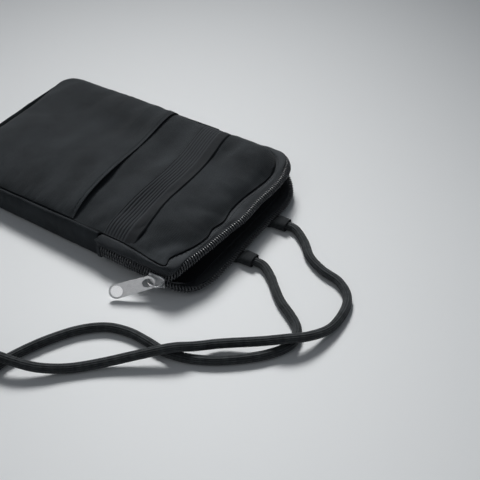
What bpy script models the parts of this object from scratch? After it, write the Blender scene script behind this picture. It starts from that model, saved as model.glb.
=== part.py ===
"""Neck pouch wallet: a flat zipped cloth pouch with a slip pocket, an elastic band and a round neck cord.

The pouch lies on its back with its front up (+Z), its open mouth toward -Y and its slider on the -X side.
Sizes below are in millimetres; every object is built in metres.
"""

import math

import bmesh
import bpy
from mathutils import Matrix, Vector

MM = 0.001
GAP = 0.3

# Outline of the pouch: half width, closed end, and how far each layer reaches at the mouth.
HALF_WIDTH = 59.0
CLOSED_END = 93.0
CLOSED_RADIUS = 18.0
FRONT_MOUTH = -84.0
BACK_MOUTH = -89.0
NEAR_CORNER = 12.0
FAR_CORNER = 22.0
ZIP_START = -31.0
SEWN_SLANT = 0.05

# Heights and thicknesses.
BACK_THICK = 1.2
CLOTH = 1.0
LINING = 0.4
TAPE = 0.6
TAPE_BULGE = 1.7
SEAM_AT_CLOSED_END = 14.0
SEAM_AT_MOUTH = 19.0
DOME = 5.0
GUSSET_BULGE = 1.5

# Zip.
CHAIN_HALF_WIDTH = 62.8
CHAIN_HEIGHT = 9.0
COIL_RADIUS = 1.1
ROW_OFFSET = 1.7
CHAIN_START = -35.0
ROW_NEAR_CORNER = 12.5
ROW_FAR_CORNER = 22.0
UPPER_ROW_MOUTH = -91.0
LOWER_ROW_MOUTH = -95.0
UPPER_ROW_HEIGHT = 17.2
LOWER_ROW_HEIGHT = 3.9

# Slider, which starts on the straight near side of the chain.
SLIDER_Y = -75.0
PLATE_LONG = 10.4
PLATE_WIDE = 8.4
PLATE_THICK = 1.0
PULL_PIVOT = Vector((-66.4, SLIDER_Y + 0.4, CHAIN_HEIGHT + 0.4))
PULL_DIRECTION = Vector((-0.643, 0.733, -0.226))
PULL_LONG = 26.0
PULL_THICK = 1.0
PULL_ROLL = 60.0

# Pocket and elastic.
POCKET_MOUTH = -7.0
ELASTIC_MIDDLE = -39.5
ELASTIC_SLANT = 0.065
ELASTIC_WIDE = 19.0

# Neck cord.
CORD_RADIUS = 2.5
CORD_FLOOR = 2.6
TAB_X = 18.0
TAB_END = -105.0
COIL_CENTRE = (-188.0, -4.0)
COIL_MID_RADIUS = 27.5

NEAR_ROUTE = [
    (-18.0, -105.4, CORD_FLOOR),
    (-18.0, -113.0, CORD_FLOOR),
    (-23.0, -121.0, CORD_FLOOR),
    (-30.5, -129.0, CORD_FLOOR),
    (-37.0, -136.5, CORD_FLOOR),
    (-42.5, -145.5, CORD_FLOOR),
    (-48.5, -153.0, CORD_FLOOR),
    (-57.0, -156.5, CORD_FLOOR),
    (-66.0, -154.0, CORD_FLOOR),
    (-76.5, -146.0, CORD_FLOOR),
    (-88.5, -132.0, CORD_FLOOR),
    (-96.0, -118.5, CORD_FLOOR),
    (-99.2, -105.5, CORD_FLOOR),
    (-98.5, -93.0, CORD_FLOOR),
    (-98.5, -82.0, CORD_FLOOR),
    (-102.0, -70.0, CORD_FLOOR),
    (-111.0, -59.5, CORD_FLOOR),
    (-124.0, -51.0, CORD_FLOOR),
    (-137.0, -45.0, CORD_FLOOR),
    (-150.0, -41.0, CORD_FLOOR),
    (-167.0, -39.8, CORD_FLOOR),
    (-186.0, -39.8, CORD_FLOOR),
]

FAR_ROUTE = [
    (18.0, -105.4, CORD_FLOOR),
    (18.0, -113.0, CORD_FLOOR),
    (11.0, -123.0, CORD_FLOOR),
    (2.0, -132.0, CORD_FLOOR),
    (-3.5, -143.0, CORD_FLOOR),
    (-6.5, -155.0, CORD_FLOOR),
    (-14.0, -164.0, CORD_FLOOR),
    (-25.0, -168.0, CORD_FLOOR),
    (-40.0, -168.0, 3.4),
    (-53.0, -163.0, 6.4),
    (-62.0, -155.0, 8.0),
    (-69.5, -144.0, 6.4),
    (-80.5, -127.0, 4.6),
    (-90.5, -118.0, 6.4),
    (-99.0, -109.5, 8.0),
    (-109.5, -98.0, 6.0),
    (-124.0, -82.5, 3.2),
    (-135.0, -71.0, 3.0),
    (-143.5, -60.0, 5.0),
    (-148.5, -49.0, 7.4),
    (-150.5, -40.0, 8.0),
    (-152.0, -27.0, 5.4),
    (-152.1, -14.0, CORD_FLOOR),
    (-152.1, -7.0, CORD_FLOOR),
]


def clear_scene():
    for obj in list(bpy.data.objects):
        bpy.data.objects.remove(obj, do_unlink=True)


def new_collection(name):
    collection = bpy.data.collections.new(name)
    bpy.context.scene.collection.children.link(collection)
    return collection


def make_material(name, colour, roughness, metallic=0.0):
    material = bpy.data.materials.new(name)
    material.use_nodes = True
    shader = material.node_tree.nodes["Principled BSDF"]
    shader.inputs["Base Color"].default_value = (*colour, 1.0)
    shader.inputs["Roughness"].default_value = roughness
    shader.inputs["Metallic"].default_value = metallic
    return material


def add_object(name, data, collection, material):
    obj = bpy.data.objects.new(name, data)
    collection.objects.link(obj)
    obj.data.materials.append(material)
    return obj


def smooth_step(value, start, end):
    t = min(1.0, max(0.0, (value - start) / (end - start)))
    return t * t * (3.0 - 2.0 * t)


def mix(a, b, t):
    return a + (b - a) * t


def seam_height(y):
    """Height of the seam between the front panel and the gusset or the zip tape."""
    t = (CLOSED_END - y) / (CLOSED_END - FRONT_MOUTH)
    return mix(SEAM_AT_CLOSED_END, SEAM_AT_MOUTH, min(1.0, t))


def edge_x(y, side, inset, mouth_y):
    """How far the rounded outline, moved inward by inset, reaches to one side at this y."""
    half = HALF_WIDTH - inset
    closed_y = CLOSED_END - inset
    corner = NEAR_CORNER if side < 0.0 else FAR_CORNER
    for radius, into in ((CLOSED_RADIUS - inset, y - closed_y), (corner, mouth_y - y)):
        depth = radius + into
        if depth > 0.0:
            return half - radius + math.sqrt(max(0.0, radius**2 - min(depth, radius) ** 2))
    return half


def across_x(u, y, inset, mouth_y):
    """x of the point a share u of the way from the middle to the side edge."""
    side = math.copysign(1.0, u)
    return u * edge_x(y, side, inset, mouth_y)


def front_height(x, y):
    """Height of the outside of the padded front panel."""
    across = min(1.0, abs(x) / HALF_WIDTH)
    middle = 0.5 * (FRONT_MOUTH + CLOSED_END)
    along = min(1.0, abs(y - middle) / (CLOSED_END - middle))
    return seam_height(y) + DOME * (1.0 - across**6) * (1.0 - along**8)


def turn_path(u, half_width, end_y, corners, start_y):
    """Point on the path that leaves the -X side at start_y (u = -1), goes round the end and
    comes back to start_y on the +X side (u = 1). Also returns the outward direction."""
    radius = corners[0] if u < 0.0 else corners[1]
    toward = math.copysign(1.0, end_y - start_y)
    straight = abs(end_y - start_y) - radius
    arc = 0.5 * math.pi * radius
    across = half_width - radius
    run = (1.0 - abs(u)) * (straight + arc + across)
    side = math.copysign(1.0, u)
    if run < straight:
        return Vector((side * half_width, start_y + toward * run)), Vector((side, 0.0))
    if run < straight + arc:
        angle = (run - straight) / radius
        outward = Vector((side * math.cos(angle), toward * math.sin(angle)))
        centre = Vector((side * across, end_y - toward * radius))
        return centre + radius * outward, outward
    return Vector((side * (straight + arc + across - run), end_y)), Vector((0.0, toward))


def zip_opening(x):
    """0 where the two tooth rows are closed together, 1 where the mouth is fully open."""
    side = x / CHAIN_HALF_WIDTH
    return smooth_step(side, -0.995, -0.6) * (1.0 - 0.88 * smooth_step(side, 0.6, 0.98))


def tooth_row_point(u, upper, start_y=CHAIN_START):
    """Centre of the upper or lower row of coil teeth, and its outward direction."""
    mouth_y = UPPER_ROW_MOUTH if upper else LOWER_ROW_MOUTH
    grown = UPPER_ROW_MOUTH - mouth_y
    corners = (ROW_NEAR_CORNER + grown, ROW_FAR_CORNER + grown)
    flat, outward = turn_path(u, CHAIN_HALF_WIDTH, mouth_y, corners, start_y)
    closed = CHAIN_HEIGHT + (ROW_OFFSET if upper else -ROW_OFFSET)
    height = mix(closed, UPPER_ROW_HEIGHT if upper else LOWER_ROW_HEIGHT, zip_opening(flat.x))
    return Vector((flat.x, flat.y, height)), Vector((outward.x, outward.y, 0.0))


def build_sheet(name, shape, across, along, thickness, collection, material):
    """Thin cloth: a grid moved onto shape(u, v), thickened against its outward side."""
    bm = bmesh.new()
    bmesh.ops.create_grid(bm, x_segments=across, y_segments=along, size=1.0)
    for vert in bm.verts:
        vert.co = MM * Vector(shape(vert.co.x, vert.co.y))
    for face in bm.faces:
        face.smooth = True
    mesh = bpy.data.meshes.new(name)
    bm.to_mesh(mesh)
    bm.free()
    obj = add_object(name, mesh, collection, material)
    solidify = obj.modifiers.new("thickness", "SOLIDIFY")
    solidify.thickness = thickness * MM
    solidify.offset = -1.0
    return obj


def build_tube(name, points, radius, collection, material):
    curve = bpy.data.curves.new(name, "CURVE")
    curve.dimensions = "3D"
    curve.bevel_depth = radius * MM
    curve.bevel_resolution = 2
    curve.use_fill_caps = True
    spline = curve.splines.new("POLY")
    spline.points.add(len(points) - 1)
    for slot, point in zip(spline.points, points):
        slot.co = (point[0] * MM, point[1] * MM, point[2] * MM, 1.0)
    spline.use_smooth = True
    return add_object(name, curve, collection, material)


def build_box(name, size, centre, collection, material):
    bm = bmesh.new()
    bmesh.ops.create_cube(bm, size=1.0)
    for vert in bm.verts:
        vert.co = MM * Vector(c + s * v for c, s, v in zip(centre, size, vert.co))
    mesh = bpy.data.meshes.new(name)
    bm.to_mesh(mesh)
    bm.free()
    return add_object(name, mesh, collection, material)


def add_bevel(obj, width, segments=2):
    bevel = obj.modifiers.new("edges", "BEVEL")
    bevel.width = width * MM
    bevel.segments = segments
    bevel.limit_method = "ANGLE"


def panel_y(v, mouth_y, closed_y):
    """Rows of a panel, set closer together at both rounded ends."""
    middle = 0.5 * (mouth_y + closed_y)
    return middle + (closed_y - middle) * math.sin(0.5 * math.pi * v)


def build_panels(collection, cloth, lining):
    def front(u, v):
        y = panel_y(v, FRONT_MOUTH, CLOSED_END)
        x = across_x(u, y, 0.0, FRONT_MOUTH)
        return x, y, front_height(x, y)

    def back(u, v):
        y = panel_y(v, BACK_MOUTH, CLOSED_END)
        return across_x(u, y, 0.0, BACK_MOUTH), y, BACK_THICK

    def front_inside(u, v):
        y = panel_y(v, FRONT_MOUTH + 2.0, CLOSED_END - 3.0)
        x = across_x(u, y, 3.0, FRONT_MOUTH + 2.0)
        return x, y, front_height(x, y) - CLOTH - 2.0 * GAP

    def back_inside(u, v):
        y = panel_y(v, BACK_MOUTH + 3.0, CLOSED_END - 3.0)
        x = across_x(u, y, 3.0, BACK_MOUTH + 3.0)
        return x, y, BACK_THICK + GAP + LINING

    build_sheet("front_panel", front, 14, 22, CLOTH, collection, cloth)
    build_sheet("back_panel", back, 6, 20, BACK_THICK, collection, cloth)
    build_sheet("lining_front", front_inside, 8, 16, LINING, collection, lining)
    build_sheet("lining_back", back_inside, 4, 16, LINING, collection, lining)


def build_gussets(collection, cloth, lining):
    def wall(inset, foot, head):
        def shape(u, v):
            corners = (CLOSED_RADIUS - inset, CLOSED_RADIUS - inset)
            flat, outward = turn_path(
                -u, HALF_WIDTH - inset, CLOSED_END - inset, corners, ZIP_START
            )
            t = 0.5 * (v + 1.0)
            top = seam_height(flat.y) - head
            flat = flat + outward * GUSSET_BULGE * math.sin(math.pi * t)
            return flat.x, flat.y, mix(foot, top, t)

        return shape

    outer = wall(0.0, BACK_THICK + GAP, CLOTH + GAP)
    inner = wall(CLOTH + 2.0 * GAP, BACK_THICK + LINING + 3.0 * GAP, CLOTH + LINING + 4.0 * GAP)
    build_sheet("side_gusset", outer, 64, 4, CLOTH, collection, cloth)
    build_sheet("lining_gusset", inner, 48, 2, LINING, collection, lining)


def build_pocket(collection, cloth, elastic):
    lift = GAP + CLOTH

    def pocket(u, v):
        t = math.sin(0.25 * math.pi * (v + 1.0))
        closed_y = CLOSED_END - 1.0
        y = mix(POCKET_MOUTH, closed_y, t)
        x = across_x(u, y, 1.0, FRONT_MOUTH)
        y = y + SEWN_SLANT * x * (1.0 - t)
        return x, y, front_height(x, y) + lift

    def elastic_band(u, v):
        x = u * (HALF_WIDTH - 0.5)
        y = ELASTIC_MIDDLE + 0.5 * ELASTIC_WIDE * v + ELASTIC_SLANT * x
        return x, y, front_height(x, y) + lift

    build_sheet("pocket_panel", pocket, 14, 12, CLOTH, collection, cloth)
    build_sheet("elastic_band", elastic_band, 16, 3, CLOTH, collection, elastic)


def build_zip_tapes(collection, tape):
    reach = COIL_RADIUS + 2.0 * GAP

    def strip(upper):
        mouth_y = FRONT_MOUTH + 0.4 if upper else BACK_MOUTH + 0.4
        way = 1.0 if upper else -1.0

        def shape(u, v):
            sewn, _ = turn_path(
                u, HALF_WIDTH - 0.4, mouth_y, (NEAR_CORNER, FAR_CORNER), ZIP_START - 0.5
            )
            height = seam_height(sewn.y) - CLOTH - GAP if upper else BACK_THICK + 1.5 * GAP
            row, outward = tooth_row_point(u, upper, ZIP_START - 0.5)
            open_part = zip_opening(row.x)
            lean = 0.5 * math.pi * open_part
            edge = row + Vector((0.0, 0.0, way * reach * math.cos(lean)))
            edge += outward * (0.5 * TAPE * (1.0 - open_part) - reach * math.sin(lean))
            t = 0.5 * (1.0 - way * v)
            point = Vector((sewn.x, sewn.y, height)).lerp(edge, t)
            point += outward * (1.0 - open_part) * TAPE_BULGE * math.sin(math.pi * t)
            return tuple(point)

        return shape

    build_sheet("zip_tape_front", strip(True), 60, 3, TAPE, collection, tape)
    build_sheet("zip_tape_back", strip(False), 60, 3, TAPE, collection, tape)


def build_zip_coils(collection, teeth):
    for name, upper in (("zip_coil_front", True), ("zip_coil_back", False)):
        steps = 58
        points = [tooth_row_point(-1.0 + 2.0 * i / steps, upper)[0] for i in range(steps + 1)]
        build_tube(name, points, COIL_RADIUS, collection, teeth)
    for name, side in (("zip_stop_near", -1.0), ("zip_stop_far", 1.0)):
        centre = (side * CHAIN_HALF_WIDTH, CHAIN_START + 1.6, CHAIN_HEIGHT)
        stop = build_box(name, (2.8, 2.4, 5.4), centre, collection, teeth)
        add_bevel(stop, 0.4)


def build_slider(collection, cutters, metal):
    near = -CHAIN_HALF_WIDTH
    plate_offset = COIL_RADIUS + GAP + 0.5 * PLATE_THICK
    size = (PLATE_THICK, PLATE_LONG, PLATE_WIDE)
    body = build_box(
        "slider_body", size, (near - plate_offset, SLIDER_Y, CHAIN_HEIGHT), collection, metal
    )
    inner = build_box(
        "slider_inner_plate", size, (near + plate_offset, SLIDER_Y, CHAIN_HEIGHT), cutters, metal
    )
    post_size = (2.0 * plate_offset, 2.0, 0.7)
    post = build_box(
        "slider_post", post_size, (near, SLIDER_Y - 3.4, CHAIN_HEIGHT), cutters, metal
    )
    for plate in (body, inner):
        for vert in plate.data.vertices:
            if vert.co.y > SLIDER_Y * MM:
                vert.co.z = mix(CHAIN_HEIGHT * MM, vert.co.z, 0.8)
        add_bevel(plate, 0.35)
    for helper in (inner, post):
        union = body.modifiers.new("join", "BOOLEAN")
        union.operation = "UNION"
        union.solver = "EXACT"
        union.object = helper

    def crown(u, v):
        angle = 0.5 * math.pi * (u + 1.0)
        x = near - COIL_RADIUS - 2.0 * GAP - PLATE_THICK - 5.0 * math.sin(angle)
        return x, SLIDER_Y + 5.0 * math.cos(angle), CHAIN_HEIGHT + 0.6 * v

    build_sheet("slider_crown", crown, 16, 1, 0.8, collection, metal)


def tab_outline():
    """Outline of the pull tab: narrower round the eye, wider and rounded at the far end."""
    eye, tip = 3.4, 4.0
    points = []
    for i in range(13):
        angle = math.radians(-90.0 + 15.0 * i)
        points.append((PULL_LONG - 0.6 - tip + tip * math.cos(angle), tip * math.sin(angle)))
    for i in range(13):
        angle = math.radians(90.0 + 15.0 * i)
        points.append((eye - 0.6 + eye * math.cos(angle), eye * math.sin(angle)))
    return points


def eye_outline():
    angles = [math.radians(18.0 * i) for i in range(20)]
    return [(3.7 + 3.1 * math.cos(angle), 2.5 * math.sin(angle)) for angle in angles]


def build_pull(collection, metal):
    """Flat tab hung in the crown by its eye; it turns about an axis square to its length."""
    curve = bpy.data.curves.new("zip_pull", "CURVE")
    curve.dimensions = "2D"
    curve.fill_mode = "BOTH"
    curve.extrude = 0.5 * PULL_THICK * MM
    for outline in (tab_outline(), eye_outline()):
        spline = curve.splines.new("POLY")
        spline.points.add(len(outline) - 1)
        spline.use_cyclic_u = True
        for slot, point in zip(spline.points, outline):
            slot.co = (point[0] * MM, point[1] * MM, 0.0, 1.0)
    tab = add_object("zip_pull", curve, collection, metal)
    along = PULL_DIRECTION.normalized()
    upright = (Vector((0.0, 0.0, 1.0)) - along.z * along).normalized()
    roll = math.radians(PULL_ROLL)
    face = math.cos(roll) * upright + math.sin(roll) * upright.cross(along)
    side = face.cross(along)
    rotation = Matrix((along, side, face)).transposed().to_4x4()
    tab.matrix_world = Matrix.Translation(MM * PULL_PIVOT) @ rotation


def smooth_route(knots, spacing):
    """Evenly spaced points on the Catmull-Rom curve through the knots."""
    knots = [Vector(knot) for knot in knots]
    ends = [2.0 * knots[0] - knots[1], *knots, 2.0 * knots[-1] - knots[-2]]
    fine = []
    for a, b, c, d in zip(ends, ends[1:], ends[2:], ends[3:]):
        for i in range(20):
            t = i / 20.0
            fine.append(
                0.5 * (2.0 * b + (c - a) * t + (2.0 * a - 5.0 * b + 4.0 * c - d) * t**2
                       + (3.0 * b - a - 3.0 * c + d) * t**3)
            )
    fine.append(knots[-1])
    lengths = [0.0]
    for a, b in zip(fine, fine[1:]):
        lengths.append(lengths[-1] + (b - a).length)
    steps = round(lengths[-1] / spacing)
    points, j = [], 0
    for i in range(steps + 1):
        target = lengths[-1] * i / steps
        while j < len(fine) - 2 and lengths[j + 1] < target:
            j += 1
        t = (target - lengths[j]) / (lengths[j + 1] - lengths[j])
        points.append(fine[j].lerp(fine[j + 1], min(1.0, t)))
    return points


def build_cord_tab(name, x, collection, cloth):
    """Folded ribbon: flat where it is sewn in the seam, swollen round the end of the cord."""
    stations = [
        (BACK_MOUTH - 0.5, 5.0, 0.2, 1.2),
        (-97.0, 5.0, 0.2, 1.3),
        (-100.5, 4.6, 0.2, 3.8),
        (TAB_END, 3.6, 0.2, 5.2),
    ]
    bm = bmesh.new()
    rings = []
    for y, half, low, high in stations:
        ring = []
        for i in range(12):
            angle = math.radians(30.0 * i)
            square = 0.8 if high < 2.0 else 0.95
            along_x = math.copysign(abs(math.cos(angle)) ** square, math.cos(angle))
            along_z = math.copysign(abs(math.sin(angle)) ** square, math.sin(angle))
            z = mix(low, high, 0.5 + 0.5 * along_z)
            ring.append(bm.verts.new(MM * Vector((x + half * along_x, y, z))))
        rings.append(ring)
    for first, second in zip(rings, rings[1:]):
        for i in range(12):
            bm.faces.new((first[i - 1], first[i], second[i], second[i - 1]))
    bm.faces.new(rings[0][::-1])
    bm.faces.new(rings[-1])
    bmesh.ops.recalc_face_normals(bm, faces=bm.faces[:])
    mesh = bpy.data.meshes.new(name)
    bm.to_mesh(mesh)
    bm.free()
    add_object(name, mesh, collection, cloth)


def build_cord(collection, braid, strap):
    build_cord_tab("cord_tab_near", -TAB_X, collection, strap)
    build_cord_tab("cord_tab_far", TAB_X, collection, strap)
    for name, route in (("cord_strand_near", NEAR_ROUTE), ("cord_strand_far", FAR_ROUTE)):
        build_tube(name, smooth_route(route, 9.0), CORD_RADIUS, collection, braid)
    build_coil(collection, braid)
    build_tie(collection, strap)


def build_coil(collection, braid):
    """The put-away turns of cord as one turned ring."""
    profile = [(-5.2, 3.4), (-3.0, 1.1), (3.0, 1.1), (5.2, 3.4), (3.2, 8.0), (0.0, 9.6), (-3.2, 8.0)]
    mesh = bpy.data.meshes.new("cord_coil")
    points = [(MM * (COIL_MID_RADIUS + r), 0.0, MM * z) for r, z in profile]
    edges = [(i, (i + 1) % len(points)) for i in range(len(points))]
    mesh.from_pydata(points, edges, [])
    ring = add_object("cord_coil", mesh, collection, braid)
    ring.location = (COIL_CENTRE[0] * MM, COIL_CENTRE[1] * MM, 0.0)
    screw = ring.modifiers.new("turn", "SCREW")
    screw.steps = 48
    screw.render_steps = 48
    screw.use_merge_vertices = True
    screw.merge_threshold = 0.0001
    screw.use_smooth_shade = True
    screw.use_normal_calculate = True


def build_tie(collection, strap):
    """A narrow band closed round one side of the coil."""

    def band(u, v):
        angle = math.pi * u
        r = 6.3 * math.copysign(abs(math.cos(angle)) ** 0.7, math.cos(angle))
        z = 5.45 - 5.3 * math.copysign(abs(math.sin(angle)) ** 0.8, math.sin(angle))
        return COIL_CENTRE[0] - COIL_MID_RADIUS - r, COIL_CENTRE[1] + 4.0 * v, z

    build_sheet("cord_tie", band, 24, 1, 0.5, collection, strap)
    bm = bmesh.new()
    mesh = bpy.data.objects["cord_tie"].data
    bm.from_mesh(mesh)
    bmesh.ops.remove_doubles(bm, verts=bm.verts[:], dist=0.00001)
    bmesh.ops.recalc_face_normals(bm, faces=bm.faces[:])
    bm.to_mesh(mesh)
    bm.free()


def build_pouch():
    clear_scene()
    pouch = new_collection("neck_pouch_wallet")
    cutters = new_collection("helpers")
    cutters.hide_render = True
    cloth = make_material("black_polyester", (0.03, 0.033, 0.036), 0.9)
    lining = make_material("lining_cloth", (0.02, 0.022, 0.025), 0.85)
    elastic = make_material("elastic_webbing", (0.028, 0.03, 0.033), 0.9)
    tape = make_material("zip_tape_weave", (0.035, 0.038, 0.042), 0.85)
    teeth = make_material("nylon_teeth", (0.03, 0.03, 0.032), 0.4)
    metal = make_material("nickel_metal", (0.75, 0.75, 0.76), 0.3, 1.0)
    braid = make_material("cord_braid", (0.03, 0.033, 0.035), 0.85)
    strap = make_material("ribbon_cloth", (0.025, 0.027, 0.03), 0.85)
    build_panels(pouch, cloth, lining)
    build_gussets(pouch, cloth, lining)
    build_pocket(pouch, cloth, elastic)
    build_zip_tapes(pouch, tape)
    build_zip_coils(pouch, teeth)
    build_slider(pouch, cutters, metal)
    build_pull(pouch, metal)
    build_cord(pouch, braid, strap)
    for helper in cutters.objects:
        helper.display_type = "WIRE"


build_pouch()
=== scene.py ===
"""Neck pouch wallet on a pale table: the soft goods, zip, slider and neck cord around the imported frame.

The pouch lies on its back with its mouth toward -Y and the zip slider on its -X side. Shapes are worked
out in millimetres and turned into metres when a mesh is made.
"""

import math

import bmesh
import bpy
import numpy as np
from mathutils import Matrix, Vector, noise


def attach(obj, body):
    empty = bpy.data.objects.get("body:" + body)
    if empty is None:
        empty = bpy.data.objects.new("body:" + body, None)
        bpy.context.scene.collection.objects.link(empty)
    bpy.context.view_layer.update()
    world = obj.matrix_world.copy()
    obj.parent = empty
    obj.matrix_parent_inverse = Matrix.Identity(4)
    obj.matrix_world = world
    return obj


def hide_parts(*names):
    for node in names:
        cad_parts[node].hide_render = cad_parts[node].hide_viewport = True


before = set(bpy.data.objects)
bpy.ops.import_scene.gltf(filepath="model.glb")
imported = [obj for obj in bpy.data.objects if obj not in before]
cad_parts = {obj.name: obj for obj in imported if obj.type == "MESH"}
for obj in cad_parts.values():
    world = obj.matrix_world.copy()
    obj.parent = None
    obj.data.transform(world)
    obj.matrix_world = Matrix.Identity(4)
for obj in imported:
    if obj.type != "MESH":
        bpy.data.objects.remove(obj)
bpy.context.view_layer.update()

MM = 0.001
UP = Vector((0.0, 0.0, 1.0))

# --- Driving sizes, as in the CAD model ---
HALF_WIDTH = 59.0
CLOSED_END = 93.0
CLOSED_RADIUS = 18.0
FRONT_MOUTH = -84.0
BACK_MOUTH = -89.0
NEAR_CORNER = 12.0
FAR_CORNER = 22.0
ZIP_START = -31.0
TEETH_START = -34.5
TAPE_STITCH_COLUMN = 9
FULL_LEAN = 84.0
SEAM_AT_CLOSED_END = 14.0
SEAM_AT_MOUTH = 19.0
DOME = 5.6
FAR_FULLNESS = 2.8
CHAIN_HALF_WIDTH = 62.8
CHAIN_HEIGHT = 9.0
ROW_FROM_MIDDLE = 1.7
SLIDER_Y = -75.0
TAB_X = 18.0
BACK_INSET = 1.6
LINING_INSET = 4.0
EDGE_ROUNDING = 2.2
POCKET_MOUTH = -7.0
POCKET_TOP = CLOSED_END - 2.4
POCKET_HEM = 2.2
ELASTIC_MIDDLE = -39.5
ELASTIC_SLANT = 0.065
ELASTIC_WIDE = 19.0
ELASTIC_BOW = 2.8
ELASTIC_PRESS = 0.9
RIB_PITCH = 1.8

# --- Neck cord ---
CORD_DIAMETER = 5.0
CORD_FLOOR = 2.6
CORD_STRANDS = 12
COIL_CENTRE = (-188.0, -4.0)
NEAR_ROUTE = [
    (x, y, CORD_FLOOR)
    for x, y in (
        (-TAB_X, -105.4), (-TAB_X, -113.0), (-23.0, -121.0), (-30.5, -129.0), (-37.0, -136.5),
        (-42.5, -145.5), (-48.5, -153.0), (-57.0, -156.5), (-66.0, -154.0), (-76.5, -146.0),
        (-88.5, -132.0), (-96.0, -118.5), (-99.2, -105.5), (-98.5, -93.0), (-98.5, -82.0),
        (-102.0, -70.0), (-111.0, -59.5), (-124.0, -51.0), (-137.0, -45.0), (-150.0, -41.0),
        (-167.0, -39.8), (-184.0, -39.8),
    )
]
FAR_ROUTE = [
    (TAB_X, -105.4, CORD_FLOOR), (TAB_X, -113.0, CORD_FLOOR), (11.0, -123.0, CORD_FLOOR),
    (2.0, -132.0, CORD_FLOOR), (-3.5, -143.0, CORD_FLOOR), (-6.5, -155.0, CORD_FLOOR),
    (-14.0, -164.0, CORD_FLOOR), (-25.0, -168.0, CORD_FLOOR), (-40.0, -168.0, 3.4),
    (-53.0, -163.0, 6.4), (-62.0, -155.0, 8.0), (-69.5, -144.0, 6.4),
    (-80.5, -127.0, 4.6), (-90.5, -118.0, 6.4), (-99.0, -109.5, 8.0),
    (-109.5, -98.0, 6.0), (-124.0, -82.5, 3.2), (-135.0, -71.0, 3.0),
    (-143.5, -60.0, 5.0), (-148.5, -49.0, 7.4), (-150.5, -40.0, 8.0),
    (-152.0, -27.0, 5.4), (-152.1, -14.0, 3.0),
]


def mix(a, b, t):
    return a + (b - a) * t


def smooth_step(value, start, end):
    t = min(1.0, max(0.0, (value - start) / (end - start)))
    return t * t * (3.0 - 2.0 * t)


def signed_power(value, power):
    """Power of a value's size that keeps its sign; below 1 it squares off a circle."""
    return math.copysign(abs(value) ** power, value)


def hump(distance, width, power=2):
    """1 at no distance, falling smoothly toward 0 beyond the width."""
    return math.exp(-((distance / width) ** power))


def waver(x, y, z):
    """Smooth noise between about -1 and 1, with one swing for each unit."""
    return noise.noise(Vector((x, y, z)))


def catmull_rom(a, b, c, d, t):
    """Point or number at t on the smooth curve from b to c, with a before and d after them."""
    bend = (2.0 * a - 5.0 * b + 4.0 * c - d) * t**2
    return 0.5 * (2.0 * b + (c - a) * t + bend + (3.0 * b - a - 3.0 * c + d) * t**3)


def new_object(name, data):
    obj = bpy.data.objects.new(name, data)
    bpy.context.scene.collection.objects.link(obj)
    return obj


# --- Camera, lights and table ---

CAMERA_PLACE = Vector((-340.7, -308.3, 359.4))
CAMERA_AIM = Vector((-4.9, -89.3, 0.0))
CAMERA_LENS = 69.8


def point_at(obj, place, aim):
    """Put a camera or a light at its place, in metres, looking at a point."""
    obj.location = place
    obj.rotation_mode = "QUATERNION"
    obj.rotation_quaternion = (aim - place).to_track_quat("-Z", "Y")


def build_camera():
    data = bpy.data.cameras.new("view")
    data.lens = CAMERA_LENS
    data.sensor_width = 36.0
    data.clip_start = 0.01
    data.clip_end = 20.0
    camera = new_object("view", data)
    point_at(camera, CAMERA_PLACE * MM, CAMERA_AIM * MM)
    bpy.context.scene.camera = camera


def add_area_light(name, place, aim, size, power, spread_angle=180.0):
    data = bpy.data.lights.new(name, "AREA")
    data.spread = math.radians(spread_angle)
    data.shape = "RECTANGLE"
    data.size, data.size_y = size
    data.energy = power
    light = new_object(name, data)
    point_at(light, Vector(place), Vector(aim))


def build_stage():
    bpy.ops.mesh.primitive_plane_add(size=6.0)
    floor = bpy.context.object
    floor.name = "table"
    material, _, shader = new_material("pale_table", 0.6)
    shader.inputs["Base Color"].default_value = (0.72, 0.735, 0.74, 1.0)
    floor.data.materials.append(material)
    world = bpy.data.worlds.new("studio")
    bpy.context.scene.world = world
    world.use_nodes = True
    back = world.node_tree.nodes["Background"]
    back.inputs["Color"].default_value = (0.76, 0.82, 0.9, 1.0)
    back.inputs["Strength"].default_value = 0.16
    bpy.context.scene.view_settings.view_transform = "Standard"
    add_area_light("key", (0.72, 0.62, 1.0), (-0.07, -0.12, 0.0), (0.5, 0.5), 0.84, 25.0)
    add_area_light("fill", (-0.9, 0.3, 1.2), (-0.08, -0.06, 0.0), (0.9, 0.9), 1.0)
    add_area_light("card", (-1.25, -0.66, 0.36), (-0.07, -0.06, 0.0), (0.7, 0.5), 0.6)


# --- Neck cord: one cord from one tab, through its stored coil, to the other tab ---

COIL_ANGLE = 990
COIL_STEP = 15
COIL_TIE_RAISE = 0.9
COIL_TOP = 7.4


def coil_turns():
    """Points of the stored turns, clockwise from the -Y side.

    The first two turns lie on the table, one inside the other, and the rest climbs on top of them.
    The cord lifts a little at each pass through the tie.
    """
    points = []
    for angle in range(COIL_STEP, COIL_ANGLE, COIL_STEP):
        radius = mix(35.8, 30.2, smooth_step(angle, 0.0, 100.0))
        radius = mix(radius, 24.8, smooth_step(angle, 330.0, 430.0))
        radius = mix(radius, 27.5, smooth_step(angle, 660.0, 740.0))
        radius = mix(radius, 35.9, smooth_step(angle, 890.0, 990.0))
        height = mix(CORD_FLOOR, COIL_TOP, smooth_step(angle, 640.0, 740.0))
        height += hump(angle - 925.0, 30.0)
        height = mix(height, 4.4, smooth_step(angle, 945.0, 990.0))
        from_tie = (angle + 90.0) % 360.0 - 180.0
        height += COIL_TIE_RAISE * hump(from_tie, 30.0)
        turn = math.radians(-90.0 - angle)
        x = COIL_CENTRE[0] + radius * math.cos(turn)
        y = COIL_CENTRE[1] + radius * math.sin(turn)
        points.append((x, y, height))
    return points


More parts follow.
